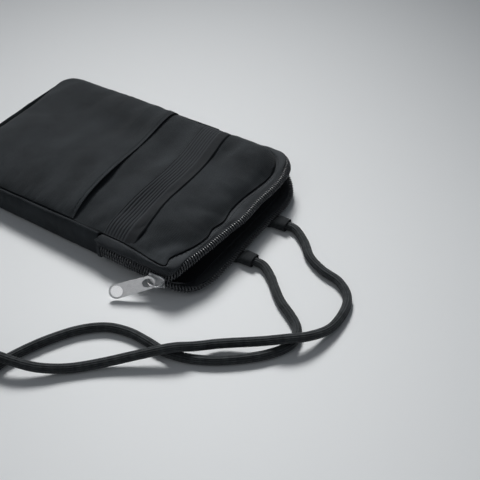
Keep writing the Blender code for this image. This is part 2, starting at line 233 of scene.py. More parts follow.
def smooth_route(knots, spacing):
    """Evenly spaced points on the Catmull-Rom curve through the knots."""
    knots = [Vector(knot) for knot in knots]
    ends = [2.0 * knots[0] - knots[1], *knots, 2.0 * knots[-1] - knots[-2]]
    fine = []
    for a, b, c, d in zip(ends, ends[1:], ends[2:], ends[3:]):
        for i in range(20):
            fine.append(catmull_rom(a, b, c, d, i / 20.0))
    fine.append(knots[-1])
    lengths = [0.0]
    for a, b in zip(fine, fine[1:]):
        lengths.append(lengths[-1] + (b - a).length)
    steps = round(lengths[-1] / spacing)
    points, j = [], 0
    for i in range(steps + 1):
        target = lengths[-1] * i / steps
        while j < len(fine) - 2 and lengths[j + 1] < target:
            j += 1
        t = (target - lengths[j]) / (lengths[j + 1] - lengths[j])
        points.append(fine[j].lerp(fine[j + 1], min(1.0, t)))
    return points, lengths[-1]


def tube_mesh(name, points, radius_at, sides):
    """Closed tube mesh round a path; radius_at(angle) gives its radius on each side."""
    tangents = []
    for i in range(len(points)):
        ahead = points[min(i + 1, len(points) - 1)] - points[max(i - 1, 0)]
        tangents.append(ahead.normalized())
    side = tangents[0].cross(UP).normalized()
    verts, faces, threads, run = [], [], [], 0.0
    for i, (point, tangent) in enumerate(zip(points, tangents)):
        run += (point - points[max(i - 1, 0)]).length
        side = (side - side.dot(tangent) * tangent).normalized()
        up = side.cross(tangent)
        for k in range(sides):
            angle = math.tau * k / sides
            radius = radius_at(angle)
            verts.append(MM * (point + radius * (math.cos(angle) * side + math.sin(angle) * up)))
            threads.append((run, angle, 0.0))
    for i in range(len(points) - 1):
        for k in range(sides):
            a, b = i * sides + k, i * sides + (k + 1) % sides
            faces.append((a, b, b + sides, a + sides))
    faces.append(tuple(range(sides))[::-1])
    faces.append(tuple(range(len(verts) - sides, len(verts))))
    return make_mesh(name, verts, faces, threads)


def make_mesh(name, verts, faces, threads):
    """Smooth mesh in metres; threads gives each point's place on the cloth for its material."""
    mesh = bpy.data.meshes.new(name)
    mesh.from_pydata(verts, [], faces)
    mesh.shade_smooth()
    attribute = mesh.attributes.new("thread", "FLOAT_VECTOR", "POINT")
    for slot, value in zip(attribute.data, threads):
        slot.vector = value
    return new_object(name, mesh)


def build_cord(braid, tie):
    knots = NEAR_ROUTE + coil_turns() + FAR_ROUTE[::-1]
    points, length = smooth_route(knots, 1.5)

    def braided(angle):
        return 0.5 * CORD_DIAMETER * (1.0 + 0.03 * math.cos(CORD_STRANDS * angle))

    cord = tube_mesh("neck_cord", points, braided, 2 * CORD_STRANDS)
    finish_piece(cord, braid, "cord_braid", "cord_strand_near", "cord_strand_far", "cord_coil")


# --- Pouch geometry shared by its cloth pieces ---

EDGE_INSET = 2.0
VALLEY = 1.1
FOLD_DEPTH = 0.8
GUSSET_VALLEY = 2.6
MOUTH_SEAM = [
    (-57.0, -31.0), (-57.2, -46.0), (-58.8, -60.0), (-60.4, -69.5), (-60.3, -77.4),
    (-54.0, -76.3), (-46.0, -79.5), (-37.5, -82.3), (-29.0, -83.4), (-21.5, -82.0),
    (-13.0, -83.6), (-3.0, -81.6), (10.0, -81.4), (22.0, -82.9), (34.0, -84.0),
    (45.0, -81.8), (53.0, -76.8), (57.0, -68.0), (57.4, -52.0), (57.0, -31.0),
]
CLOSED_CHAIN = [
    (-61.4, -29.9), (-62.4, -32.6), (-62.8, -36.5),
    (-62.8, -50.0), (-62.8, -66.0), (-62.8, -79.0),
]
UPPER_ROW = [(x, y, CHAIN_HEIGHT + ROW_FROM_MIDDLE) for x, y in CLOSED_CHAIN] + [
    (-60.2, -83.2, 12.4), (-54.0, -85.6, 15.2), (-45.0, -87.5, 17.0), (-34.0, -89.0, 17.4),
    (-19.0, -90.0, 17.0), (-4.5, -91.8, 17.3), (12.0, -90.8, 17.0), (27.0, -91.7, 17.4),
    (41.0, -90.6, 17.2), (52.0, -87.0, 16.6), (59.5, -80.0, 15.0), (62.6, -70.0, 12.8),
    (62.8, -58.0, 11.0), (62.4, -29.6, 10.7),
]
LOWER_ROW = [(x, y, CHAIN_HEIGHT - ROW_FROM_MIDDLE) for x, y in CLOSED_CHAIN] + [
    (-61.6, -85.0, 6.0), (-57.5, -90.8, 4.4), (-51.0, -94.6, 3.6), (-42.0, -96.2, 3.5),
    (-25.0, -96.4, 3.7), (-5.0, -96.0, 3.5), (15.0, -96.4, 3.8), (32.0, -96.8, 3.6),
    (44.0, -93.5, 3.8), (54.0, -86.0, 4.6), (60.5, -77.0, 5.8), (62.8, -66.0, 7.0),
    (62.4, -29.6, 7.3),
]


def seam_height(y):
    t = (CLOSED_END - y) / (CLOSED_END - FRONT_MOUTH)
    return mix(SEAM_AT_CLOSED_END, SEAM_AT_MOUTH, min(1.0, max(0.0, t)))


def turn_path(u, half_width, end_y, corners, start_y):
    """Point and outward direction on the path from one side, round one end, to the other side."""
    radius = corners[0] if u < 0.0 else corners[1]
    toward = math.copysign(1.0, end_y - start_y)
    straight = abs(end_y - start_y) - radius
    arc = 0.5 * math.pi * radius
    across = half_width - radius
    run = (1.0 - abs(u)) * (straight + arc + across)
    side = math.copysign(1.0, u)
    if run < straight:
        return Vector((side * half_width, start_y + toward * run, 0.0)), Vector((side, 0.0, 0.0))
    if run < straight + arc:
        angle = (run - straight) / radius
        outward = Vector((side * math.cos(angle), toward * math.sin(angle), 0.0))
        centre = Vector((side * across, end_y - toward * radius, 0.0))
        return centre + radius * outward, outward
    return Vector((side * (straight + arc + across - run), end_y, 0.0)), Vector((0.0, toward, 0.0))


def zip_opening(x):
    side = x / CHAIN_HALF_WIDTH
    return smooth_step(side, -0.995, -0.6) * (1.0 - 0.88 * smooth_step(side, 0.6, 0.98))


def even_path(knots):
    """Evenly spaced points along a path through its knots."""
    points, _ = smooth_route(knots, 0.6)
    return points


def outward_at(path, i):
    """Level direction away from the pouch at a point of an evenly spaced path."""
    ahead = path[min(i + 6, len(path) - 1)] - path[max(i - 5, 0)]
    return Vector((ahead.y, -ahead.x, 0.0)).normalized()


def tooth_row(path, share, upper):
    """Centre of a row of teeth, the direction from it to its tape, and the direction off its face."""
    place = share * (len(path) - 1)
    i = min(int(place), len(path) - 2)
    centre = path[i].lerp(path[i + 1], place - i)
    outward = outward_at(path, i)
    lean = math.radians(FULL_LEAN) * zip_opening(centre.x)
    rise = UP if upper else -UP
    to_tape = rise * math.cos(lean) - outward * math.sin(lean)
    off_face = outward * math.cos(lean) + rise * math.sin(lean)
    return centre, to_tape, off_face


def mouth_seam():
    """Evenly spaced points of the sewn line between the front panel and the zip tape."""
    return even_path([(x, y, 0.0) for x, y in MOUTH_SEAM])


def seam_beside(seam, centres):
    """For each place along a row of teeth: the sewn point beside it and the outward direction there."""
    places = [min(range(len(seam)), key=lambda k: (seam[k].xy - c.xy).length_squared) for c in centres]
    for _ in range(3):
        around = [places[max(i - 5, 0) : i + 6] for i in range(len(places))]
        places = [sum(near) / len(near) for near in around]
    beside = []
    for place in places:
        i = min(int(place), len(seam) - 2)
        beside.append((seam[i].lerp(seam[i + 1], place - i), outward_at(seam, i)))
    return beside


def closed_seam(u):
    """The sewn line between the front panel and the side gusset, round the closed end."""
    corners = (CLOSED_RADIUS - EDGE_INSET, CLOSED_RADIUS - EDGE_INSET)
    return turn_path(u, HALF_WIDTH - EDGE_INSET, CLOSED_END - EDGE_INSET, corners, ZIP_START)


def outline():
    """The whole sewn edge of the front panel: round the mouth, then back round the closed end."""
    mouth = mouth_seam()[::2]
    closed = [closed_seam(1.0 - 2.0 * i / 170)[0] for i in range(1, 170)]
    return mouth + closed


def dome(x, y):
    """Fullness of the pouch, which rounds off early on its near side and stays full on the far one."""
    across = min(1.0, abs(x) / HALF_WIDTH)
    middle = 0.5 * (FRONT_MOUTH + CLOSED_END)
    along = min(1.0, abs(y - middle) / (CLOSED_END - middle))
    return DOME * (1.0 - across ** (2.4 if x < 0.0 else 7.0)) * (1.0 - along**8)


# Dents of the front panel: x and y of the middle, reach along x and y, depth.
HOLLOWS = (
    (-48.0, -68.0, 8.0, 8.0, 3.2),
    (-40.0, -53.0, 11.0, 3.5, 1.3),
    (36.0, -54.0, 13.0, 5.5, 3.2),
    (4.0, -60.0, 26.0, 7.0, 0.8),
    (2.0, -19.0, 36.0, 7.0, 1.5),
)
SIM_SCALE = 0.01
FOLD_COLUMNS = 50
FOLD_ROWS = 76
FOLD_CORNER = Vector((-59.0, -86.0))
FOLD_SIZE = Vector((118.0, 182.0))


def slack_cloth():
    """Sheet over the whole front, ten times its size, and the numbers of its sewn points."""
    verts, sewn = [], []
    for j in range(FOLD_ROWS + 1):
        for i in range(FOLD_COLUMNS + 1):
            x = FOLD_CORNER.x + FOLD_SIZE.x * i / FOLD_COLUMNS
            y = FOLD_CORNER.y + FOLD_SIZE.y * j / FOLD_ROWS
            mouth = y - FRONT_MOUTH - EDGE_INSET
            inside = min(edge_distance(x, y), mouth)
            if inside <= 0.5:
                sewn.append(len(verts))
            start = dome(x, y) * min(1.0, max(0.0, inside / 3.0))
            start += 0.5 * waver(x / 2.1, y / 2.1, 0.7)
            verts.append(SIM_SCALE * Vector((x, y, start)))
    row = FOLD_COLUMNS + 1
    faces = [
        (j * row + i, j * row + i + 1, (j + 1) * row + i + 1, (j + 1) * row + i)
        for j in range(FOLD_ROWS)
        for i in range(FOLD_COLUMNS)
    ]
    mesh = bpy.data.meshes.new("slack_cloth")
    mesh.from_pydata(verts, [], faces)
    return new_object("slack_cloth", mesh), sewn


def simulate_folds():
    """Folds of the front cloth in millimetres, on a grid over the pouch.

    The cloth is sewn down round its edge, cut 4% too large, and blown up gently from inside, so it
    puckers along the seams. It is simulated at ten times its size, which the solver holds steadier,
    and only the folds are kept: the broad swelling is taken off again.
    """
    sheet, sewn = slack_cloth()
    group = sheet.vertex_groups.new(name="sewn")
    group.add(sewn, 1.0, "REPLACE")
    cloth = sheet.modifiers.new("cloth", "CLOTH").settings
    cloth.quality = 6
    cloth.mass = 0.2
    cloth.vertex_group_mass = "sewn"
    cloth.tension_stiffness = 20.0
    cloth.compression_stiffness = 15.0
    cloth.shear_stiffness = 4.0
    cloth.bending_stiffness = 1.6
    cloth.shrink_min = -0.04
    cloth.use_pressure = True
    cloth.uniform_pressure_force = 0.8
    cloth.air_damping = 3.0
    cloth.effector_weights.gravity = 0.0
    for frame_number in range(1, 31):
        bpy.context.scene.frame_set(frame_number)
    evaluated = sheet.evaluated_get(bpy.context.evaluated_depsgraph_get()).to_mesh()
    heights = np.array([vert.co.z / SIM_SCALE for vert in evaluated.vertices])
    bpy.context.scene.frame_set(1)
    bpy.data.objects.remove(sheet)
    heights = heights.reshape(FOLD_ROWS + 1, FOLD_COLUMNS + 1)
    return blurred(heights, 2) - blurred(heights, 40)


def blurred(heights, passes):
    for _ in range(passes):
        padded = np.pad(heights, 1, mode="edge")
        beside = padded[:-2, 1:-1] + padded[2:, 1:-1] + padded[1:-1, :-2] + padded[1:-1, 2:]
        heights = (beside + 4.0 * heights) / 8.0
    return heights


def fold_height(x, y):
    i = (x - FOLD_CORNER.x) / FOLD_SIZE.x * FOLD_COLUMNS
    j = (y - FOLD_CORNER.y) / FOLD_SIZE.y * FOLD_ROWS
    i = min(FOLD_COLUMNS - 0.001, max(0.0, i))
    j = min(FOLD_ROWS - 0.001, max(0.0, j))
    a, b = int(i), int(j)
    near = mix(FOLDS[b][a], FOLDS[b][a + 1], i - a)
    far = mix(FOLDS[b + 1][a], FOLDS[b + 1][a + 1], i - a)
    return mix(near, far, j - b)


def elastic_line(x):
    """y of the middle of the elastic, which is pushed toward the mouth by the full pouch."""
    bow = ELASTIC_BOW * hump(x - 10.0, 28.0)
    return ELASTIC_MIDDLE + ELASTIC_SLANT * x - bow + 0.6 * waver(x / 30.0, 0.0, 3.0)


def panel_height(x, y, edge):
    """Outside of the padded front panel; edge is the distance to its sewn edge."""
    slack = 0.5 * waver(x / 31.0, y / 24.0, 1.0)
    full = seam_height(y) + dome(x, y) + slack + FAR_FULLNESS * smooth_step(x, 15.0, 50.0)
    full += 1.3 * smooth_step(x, 15.0, 50.0) * smooth_step(y, -18.0, 2.0)
    full -= ELASTIC_PRESS * hump(y - elastic_line(x), 8.5, 4)
    for at_x, at_y, wide, long, depth in HOLLOWS:
        full -= depth * hump(x - at_x, wide) * hump(y - at_y, long)
    filled = 1.0 - math.exp(-edge / 2.0)
    folds = FOLD_DEPTH * fold_height(x, y) * (1.0 - math.exp(-edge / 3.0))
    side = math.exp(-(HALF_WIDTH - EDGE_INSET - abs(x)) / 6.0)
    mouth = math.exp(-max(0.0, y - FRONT_MOUTH) / 6.0)
    puckers = 0.7 * side * waver(x / 14.0, y / 3.6, 2.0)
    puckers += 0.7 * mouth * waver(x / 4.2, y / 14.0, 5.0)
    return mix(seam_height(y) - VALLEY, full, filled) + puckers * filled + folds


def edge_distance(x, y):
    """Rough distance from a point of the front to the sewn edge at the sides or the closed end."""
    side = HALF_WIDTH - EDGE_INSET - abs(x)
    end = CLOSED_END - EDGE_INSET - y
    corner = CLOSED_RADIUS - EDGE_INSET
    if side < corner and end < corner:
        return corner - math.hypot(corner - side, corner - end)
    return min(side, end)


def side_reach(y):
    """Half width of the front's outline at this y, on the closed-end side of the elastic."""
    corner = CLOSED_RADIUS - EDGE_INSET
    depth = corner - (CLOSED_END - EDGE_INSET - y)
    if depth <= 0.0:
        return HALF_WIDTH - EDGE_INSET
    return HALF_WIDTH - EDGE_INSET - corner + math.sqrt(max(0.0, corner**2 - depth**2))


def along_profile(points, t):
    """Catmull-Rom curve through the profile's (offset, height) points at t from 0 to 1."""
    place = t * (len(points) - 1)
    i = min(int(place), len(points) - 2)
    before, after = points[max(i - 1, 0)], points[min(i + 2, len(points) - 1)]
    corners = zip(before, points[i], points[i + 1], after)
    return [catmull_rom(a, b, c, d, place - i) for a, b, c, d in corners]


def spread(count, power=1.0):
    """Shares from 0 to 1 in equal steps, drawn toward 0 by a power above 1."""
    return [(i / count) ** power for i in range(count + 1)]


def both_ends(count):
    """Values from -1 to 1, closer together at both ends."""
    return [math.sin(0.5 * math.pi * (2.0 * i / count - 1.0)) for i in range(count + 1)]


def grid_mesh(name, rows, closed=False, tone_and_groove_shade=None, level=False):
    """Mesh over rows of points in millimetres. Its thread attribute holds the cloth's own lengths
    and a mark for each row, or for a level panel its x and y, so that its threads run straight."""
    width = len(rows[0])
    verts = [MM * Vector(point) for row in rows for point in row]
    faces = []
    for i in range(len(rows) - 1 + int(closed)):
        for j in range(width - 1):
            a, b = i * width + j, (i + 1) % len(rows) * width + j
            faces.append((a, a + 1, b + 1, b))
    threads, up = [], 0.0
    for i, row in enumerate(rows):
        middle = width // 2
        if i:
            up += (Vector(row[middle]) - Vector(rows[i - 1][middle])).length
        across = 0.0
        for j, point in enumerate(row):
            if j:
                across += (Vector(point) - Vector(row[j - 1])).length
            if level:
                threads.append(tuple(point))
            else:
                threads.append((across, up, tone_and_groove_shade[i] if tone_and_groove_shade else 0.0))
    return make_mesh(name, verts, faces, threads)


def thicken(obj, thickness, offset=-1.0):
    solidify = obj.modifiers.new("thickness", "SOLIDIFY")
    solidify.thickness = thickness * MM
    solidify.offset = offset


def finish_piece(obj, material, slot, *nodes, body="pouch"):
    """Give a piece its material and body, and hide the CAD nodes that it stands for. Its slot is not
    used.
    """
    obj.data.materials.append(material)
    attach(obj, body)
    if nodes:
        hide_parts(*nodes)


# --- Cloth pieces ---


def build_front(cloth):
    middle = Vector((0.0, 20.0, 0.0))
    rows = []
    for edge in outline():
        row = []
        for share in spread(62, 1.7):
            point = edge.lerp(middle, share)
            distance = (point - edge).length
            row.append((point.x, point.y, panel_height(point.x, point.y, distance)))
        rows.append(row)
    front = grid_mesh("front_cloth", rows, closed=True, level=True)
    thicken(front, 0.8, 1.0)
    finish_piece(front, cloth, "black_polyester", "front_panel")


def pocket_mouth_y(x):
    return POCKET_MOUTH + 0.055 * x + 1.1 * hump(x - 8.0, 26.0)


def pocket_point(x, share):
    """Outside of the pocket panel at x, a share of the way from its mouth to the closed end."""
    y = mix(POCKET_MOUTH, POCKET_TOP, share)
    y += (pocket_mouth_y(x) - POCKET_MOUTH) * (1.0 - share)
    edge = max(0.0, edge_distance(x, y))
    depth = y - pocket_mouth_y(x)
    lift = mix(0.1, 2.8, smooth_step(-x, 2.0, 32.0)) * math.exp(-depth / 13.0)
    lift *= (1.0 - min(1.0, abs(x) / HALF_WIDTH) ** 2) ** 0.8
    slack = 0.4 * waver(x / 26.0, y / 34.0, 9.0)
    slack -= 0.35 * fold_height(x, y) * smooth_step(depth, 2.0, 25.0)
    hem = -0.2 * hump(depth - POCKET_HEM, 0.5)
    pillow = 1.0 - math.exp(-edge / EDGE_ROUNDING)
    height = panel_height(x, y, edge) + 0.35 + (0.75 + lift + slack + hem) * pillow
    return Vector((x, y, height))


def build_pocket(cloth, thread):
    rows = []
    for share in spread(130, 1.35):
        y = mix(POCKET_MOUTH, POCKET_TOP, share)
        rows.append([pocket_point(u * (side_reach(y) - 0.4), share) for u in both_ends(110)])
    pocket = grid_mesh("pocket_cloth", rows, level=True)
    thicken(pocket, 0.7)
    finish_piece(pocket, cloth, "black_polyester", "pocket_panel")
    share = POCKET_HEM / (POCKET_TOP - POCKET_MOUTH)
    line = [pocket_point(-54.0 + 0.5 * i, share) for i in range(217)]
    build_stitches("pocket_hem_stitches", line, thread)


STITCH_STEPS = 8
STITCH_PITCH = 11
STITCH_SIDES = 6
STITCH_RADIUS = 0.17


def build_stitches(name, line, thread):
    """A row of lockstitches lying on a line of points: short threads that dive in at both ends."""
    points, _ = smooth_route(line, 0.25)
    verts, faces, threads = [], [], []
    for start in range(0, len(points) - STITCH_PITCH, STITCH_PITCH):
        first = len(verts)
        for k in range(STITCH_STEPS + 1):
            t = k / STITCH_STEPS
            ahead = (points[start + k + 1] - points[start + k]).normalized()
            side = ahead.cross(UP).normalized()
            up = side.cross(ahead)
            centre = points[start + k] + up * (0.22 * math.sin(math.pi * t) - 0.12)
            for q in range(STITCH_SIDES):
                angle = math.tau * q / STITCH_SIDES
                ring = STITCH_RADIUS * (math.cos(angle) * side + math.sin(angle) * up)
                verts.append(MM * (centre + ring))
                threads.append((t, angle, 0.0))
                if k:
                    a = len(verts) - 1
                    b = a - q + (q + 1) % STITCH_SIDES
                    faces.append((a - STITCH_SIDES, b - STITCH_SIDES, b, a))
        faces.append(tuple(range(first, first + STITCH_SIDES))[::-1])
        faces.append(tuple(range(len(verts) - STITCH_SIDES, len(verts))))
    stitches = make_mesh(name, verts, faces, threads)
    finish_piece(stitches, thread, "black_polyester")


def build_elastic(webbing):
    """Woven elastic: grooves between flat ribs over most of it, and a plain selvedge toward the mouth."""
    rows, tone_and_groove_shade = [], []
    for v in both_ends(190):
        ribbed = smooth_step(v, -0.42, -0.36)
        groove = ribbed * math.cos(math.pi * (v + 1.0) * 0.5 * ELASTIC_WIDE / RIB_PITCH) ** 4
        row = []
        for u in both_ends(110):
            x = u * (HALF_WIDTH - EDGE_INSET + 0.2)
            middle = elastic_line(x)
            width = ELASTIC_WIDE * (1.0 + 0.12 * smooth_step(-x, 15.0, 50.0))
            y = middle + 0.5 * width * v
            edge = max(0.0, HALF_WIDTH - EDGE_INSET - abs(x))
            pillow = 1.0 - math.exp(-edge / EDGE_ROUNDING)
            slack = 1.0 - 0.7 * smooth_step(x, -20.0, 30.0)
            gather = 0.12 * waver(x / 2.0, y / 9.0, 7.0)
            under = max(panel_height(x, middle, edge), panel_height(x, y, edge) - 0.3)
            z = under + 0.2 + (1.1 + gather - 0.4 * groove * slack) * pillow
            z -= 0.7 * max(0.0, abs(v) - 0.94) / 0.06 * pillow
            row.append((x, y, z))
        rows.append(row)
        # Colour mark for each row: paler over the ribbed part, darker on the plain selvedge, and lowered
        # in each groove between the ribs, which is painted shade.
        tone_and_groove_shade.append(mix(0.35, 1.0, ribbed) - 0.8 * groove)
    band = grid_mesh("elastic_webbing", rows, tone_and_groove_shade=tone_and_groove_shade)
    thicken(band, 0.9)
    finish_piece(band, webbing, "elastic_webbing", "elastic_band")


def build_gusset(cloth):
    rows = []
    for i in range(300):
        u = 1.0 - 2.0 * i / 299
        base, outward = closed_seam(u)
        top = seam_height(base.y)
        crease = waver(base.x / 11.0, base.y / 11.0, 2.0)
        profile = [
            (-0.6, top - GUSSET_VALLEY),
            (0.6, top - 0.9),
            (2.0, top + 0.4 + 0.4 * crease),
            (3.4, top - 0.8),
            (4.0 + 0.3 * crease, top - 3.6),
            (4.1 + 0.5 * crease, 0.5 * top),
            (3.9 + 0.3 * crease, 3.2),
            (3.1, 1.0),
            (1.6, 0.15),
            (-1.0, 0.1),
        ]
        row = []
        for t in spread(44):
            offset, height = along_profile(profile, t)
            ripple = 0.22 * waver(base.x / 4.0, base.y / 4.0, height / 6.0)
            point = base + outward * (offset + ripple)
            row.append((point.x, point.y, max(0.05, height)))
        rows.append(row)
    gusset = grid_mesh("gusset_cloth", rows)
    thicken(gusset, 0.8)
    finish_piece(gusset, cloth, "black_polyester", "side_gusset")


def build_back(cloth):
    rows = []
    for v in both_ends(60):
        middle = 0.5 * (BACK_MOUTH + CLOSED_END)
        y = middle + (CLOSED_END - BACK_INSET - middle) * v
        corner = CLOSED_RADIUS if v > 0.0 else FAR_CORNER
        depth = corner - (CLOSED_END - middle) * (1.0 - abs(v))
        reach = HALF_WIDTH - BACK_INSET
        if depth > 0.0:
            reach += math.sqrt(max(0.0, corner**2 - depth**2)) - corner
        rows.append([(u * reach, y, 1.3) for u in both_ends(40)])
    back = grid_mesh("back_cloth", rows)
    thicken(back, 1.25)
    finish_piece(back, cloth, "black_polyester", "back_panel")


def upper_profile(sewn, outward, row_centre, to_tape, off_face, opening):
    """Points across the upper tape, from under the front panel's edge to under its teeth."""
    top = seam_height(sewn.y)
    wave = waver(sewn.x / 7.0, sewn.y / 7.0, 8.0)
    end = row_centre - 0.2 * to_tape - 1.3 * off_face
    beside = row_centre + 2.6 * to_tape - 1.15 * off_face
    under = sewn - 1.0 * outward
    under.z = top - 2.7
    groove = sewn + 0.35 * outward
    groove.z = top - mix(1.9, 2.2, opening)
    closed_crest = sewn + (2.3 + 0.4 * wave) * outward
    closed_crest.z = top - 0.5 + 0.5 * wave
    closed_side = row_centre + (3.4 + 0.3 * wave) * to_tape + 0.5 * off_face
    open_crest = groove.lerp(beside, 0.5)
    open_crest.z += 0.7 + 0.5 * wave
    crest = closed_crest.lerp(open_crest, opening)
    side = closed_side.lerp(beside, opening)
    return [under, groove, crest, side, end]


def lower_profile(sewn, outward, row_centre, to_tape, off_face, opening):
    """Points across the lower tape, from inside the back panel's edge to behind its teeth."""
    wave = waver(sewn.x / 7.0, sewn.y / 7.0, 3.0)
    end = row_centre + 0.3 * to_tape - 1.15 * off_face
    under = sewn - 1.2 * outward
    under.z = 1.5
    groove = sewn + 0.2 * outward
    groove.z = 1.0
    closed_side = row_centre + 2.6 * to_tape - 1.5 * off_face
    open_side = groove.lerp(end, 0.6)
    open_side.z += 0.3 + 0.3 * wave
    return [under, groove, closed_side.lerp(open_side, opening), end]


def back_seam():
    """Evenly spaced points of the sewn line between the back panel and the zip tape."""
    corners = (NEAR_CORNER, FAR_CORNER)
    return [
        turn_path(-1.0 + i / 200.0, HALF_WIDTH - 1.4, BACK_MOUTH + 0.6, corners, ZIP_START)[0]
        for i in range(401)
    ]


def build_tape(upper, tape):
    seam = mouth_seam() if upper else back_seam()
    profile_at = upper_profile if upper else lower_profile
    path = even_path(UPPER_ROW if upper else LOWER_ROW)
    stations = [tooth_row(path, share, upper) for share in spread(380)]
    beside = seam_beside(seam, [station[0] for station in stations])
    rows = []
    for (sewn, outward), (row_centre, to_tape, off_face) in zip(beside, stations):
        profile = profile_at(sewn, outward, row_centre, to_tape, off_face, zip_opening(row_centre.x))
        rows.append([along_profile(profile, t) for t in spread(22)])
    name = "zip_tape_upper" if upper else "zip_tape_lower"
    strip = grid_mesh(name, rows)
    thicken(strip, 0.5, -1.0 if upper else 1.0)
    node = "zip_tape_front" if upper else "zip_tape_back"
    finish_piece(strip, tape, "zip_tape_weave", node)
    if upper:
        line = [row[TAPE_STITCH_COLUMN] for row in rows[6:-6]]
        build_stitches("zip_tape_stitches", line, tape)


TOOTH_TURNS = 130
STEPS_PER_TURN = 10
TOOTH_REACH = 1.95


def build_teeth(upper, nylon, thread):
    """A row of coil teeth: one flattened helix of nylon wire, its core, and the thread that sews it."""
    path = [p for p in even_path(UPPER_ROW if upper else LOWER_ROW) if p.y < TEETH_START]
    steps = TOOTH_TURNS * STEPS_PER_TURN
    wire, core, sewing = [], [], []
    for i in range(steps + 1):
        centre, to_tape, off_face = tooth_row(path, i / steps, upper)
        angle = math.tau * i / STEPS_PER_TURN
        across = TOOTH_REACH * math.cos(angle) * to_tape
        wire.append(centre - across + 0.9 * math.sin(angle) * off_face)
        if i % STEPS_PER_TURN == 0:
            core.append(centre)
        if i % 2 == 0:
            dip = 0.12 * math.cos(angle)
            sewing.append(centre + (0.95 + dip) * off_face + 0.5 * to_tape)
    name = "zip_teeth_upper" if upper else "zip_teeth_lower"
    row = tube_mesh(name, wire, lambda angle: 0.46, 6)
    heart = tube_mesh(name + "_core", core, lambda angle: 0.5, 8)
    seam = tube_mesh(name + "_sewing", sewing, lambda angle: 0.2, 6)
    finish_piece(row, nylon, "nylon_teeth", "zip_coil_front" if upper else "zip_coil_back")
    finish_piece(heart, thread, "nylon_teeth")
    finish_piece(seam, thread, "zip_tape_weave")


def build_lining(lining):
    def floor_height(x, y):
        return 2.0 + 0.5 * waver(x / 14.0, y / 18.0, 3.0)

    def roof_height(x, y):
        edge = max(0.0, edge_distance(x, y))
        return panel_height(x, y, edge) - 2.4 - 1.2 * math.exp(-edge / 3.0)

    end = CLOSED_END - LINING_INSET
    for name, mouth, height, node in (
        ("lining_floor", BACK_MOUTH + 1.2, floor_height, "lining_back"),
        ("lining_roof", FRONT_MOUTH + 2.0, roof_height, "lining_front"),
    ):
        rows = []
        for v in both_ends(50):
            y = mix(mouth, end, 0.5 * (v + 1.0))
            near = max(0.0, NEAR_CORNER + 3.0 - (y - mouth))
            far = max(0.0, FAR_CORNER - (y - mouth))
            back_corner = max(0.0, CLOSED_RADIUS - LINING_INSET - (end - y))
            row = []
            for u in both_ends(36):
                corner = near if u < 0.0 else far
                cut = corner**2 / (2.0 * FAR_CORNER) + back_corner**2 / (2.0 * CLOSED_RADIUS)
                x = u * (HALF_WIDTH - LINING_INSET - min(20.0, cut))
                row.append((x, y, height(x, y)))
            rows.append(row)
        sheet = grid_mesh(name, rows)
        thicken(sheet, 0.35, -1.0 if node == "lining_back" else 1.0)
        finish_piece(sheet, lining, "lining_cloth", node)
    rows = []
    for i in range(161):
        base, outward = closed_seam(1.0 - 2.0 * i / 160)
        top = seam_height(base.y) - 3.6
        row = []
        for t in spread(8):
            wave = 0.3 * waver(base.x / 9.0, base.y / 9.0, 5.0 * t)
            point = base - outward * (1.4 - 0.8 * math.sin(math.pi * t) + wave)
            row.append((point.x, point.y, mix(2.4, top, t)))
        rows.append(row)
    wall = grid_mesh("lining_wall", rows)
    thicken(wall, 0.35)
    finish_piece(wall, lining, "lining_cloth", "lining_gusset")


# --- Zip hardware ---

PLATE_PROFILE = ((5.2, 2.9), (4.4, 3.4), (0.0, 3.7), (-3.2, 4.3), (-5.2, 3.4))
PLATE_OFFSET = 1.95
PLATE_THICKNESS = 1.0


def build_slider(metal):
    """Two plates either side of the chain, widest where the rows part, joined by a post."""
    middle = Vector((-CHAIN_HALF_WIDTH, SLIDER_Y, CHAIN_HEIGHT))
    loop = list(PLATE_PROFILE) + [(y, -half) for y, half in PLATE_PROFILE[::-1]]
    mesh = bmesh.new()
    for offset in (-PLATE_OFFSET, PLATE_OFFSET):
        x = offset - 0.5 * PLATE_THICKNESS
        face = mesh.faces.new([mesh.verts.new(MM * (middle + Vector((x, y, z)))) for y, z in loop])
        moved = bmesh.ops.extrude_face_region(mesh, geom=[face])["geom"]
        lifted = [item for item in moved if isinstance(item, bmesh.types.BMVert)]
        bmesh.ops.translate(mesh, verts=lifted, vec=Vector((PLATE_THICKNESS * MM, 0.0, 0.0)))
    for vert in bmesh.ops.create_cube(mesh, size=1.0)["verts"]:
        post = Vector((3.4 * vert.co.x, 2.0 * vert.co.y - 3.4, 0.7 * vert.co.z))
        vert.co = MM * (middle + post)
    bmesh.ops.recalc_face_normals(mesh, faces=mesh.faces[:])
    data = bpy.data.meshes.new("slider_plates")
    mesh.to_mesh(data)
    mesh.free()
    plates = new_object("slider_plates", data)
    bevel = plates.modifiers.new("edges", "BEVEL")
    bevel.width = 0.32 * MM
    bevel.segments = 3
    finish_piece(plates, metal, "nickel_metal", "slider_body", body="slider")


BAIL_RISE = 5.0
BAIL_HALF_LENGTH = 5.0


def build_bail(metal):
    """Arched bail over the slider's outer plate, wider at its two feet."""
    rows = []
    for i in range(41):
        angle = math.pi * i / 40
        half = 0.62 + 0.75 * abs(math.cos(angle)) ** 3
        x = -CHAIN_HALF_WIDTH - 2.5 - BAIL_RISE * math.sin(angle) ** 0.85
        y = SLIDER_Y + BAIL_HALF_LENGTH * math.cos(angle)
        row = []
        for k in range(9):
            side = -1.0 + 0.25 * k
            crown = 0.16 * (1.0 - side * side)
            row.append((x - crown, y, CHAIN_HEIGHT + half * side))
        rows.append(row)
    strap = grid_mesh("slider_bail", rows)
    thicken(strap, 1.0, 1.0)
    bevel = strap.modifiers.new("edges", "BEVEL")
    bevel.width = 0.25 * MM
    bevel.segments = 2
    finish_piece(strap, metal, "nickel_metal", "slider_crown", body="slider")


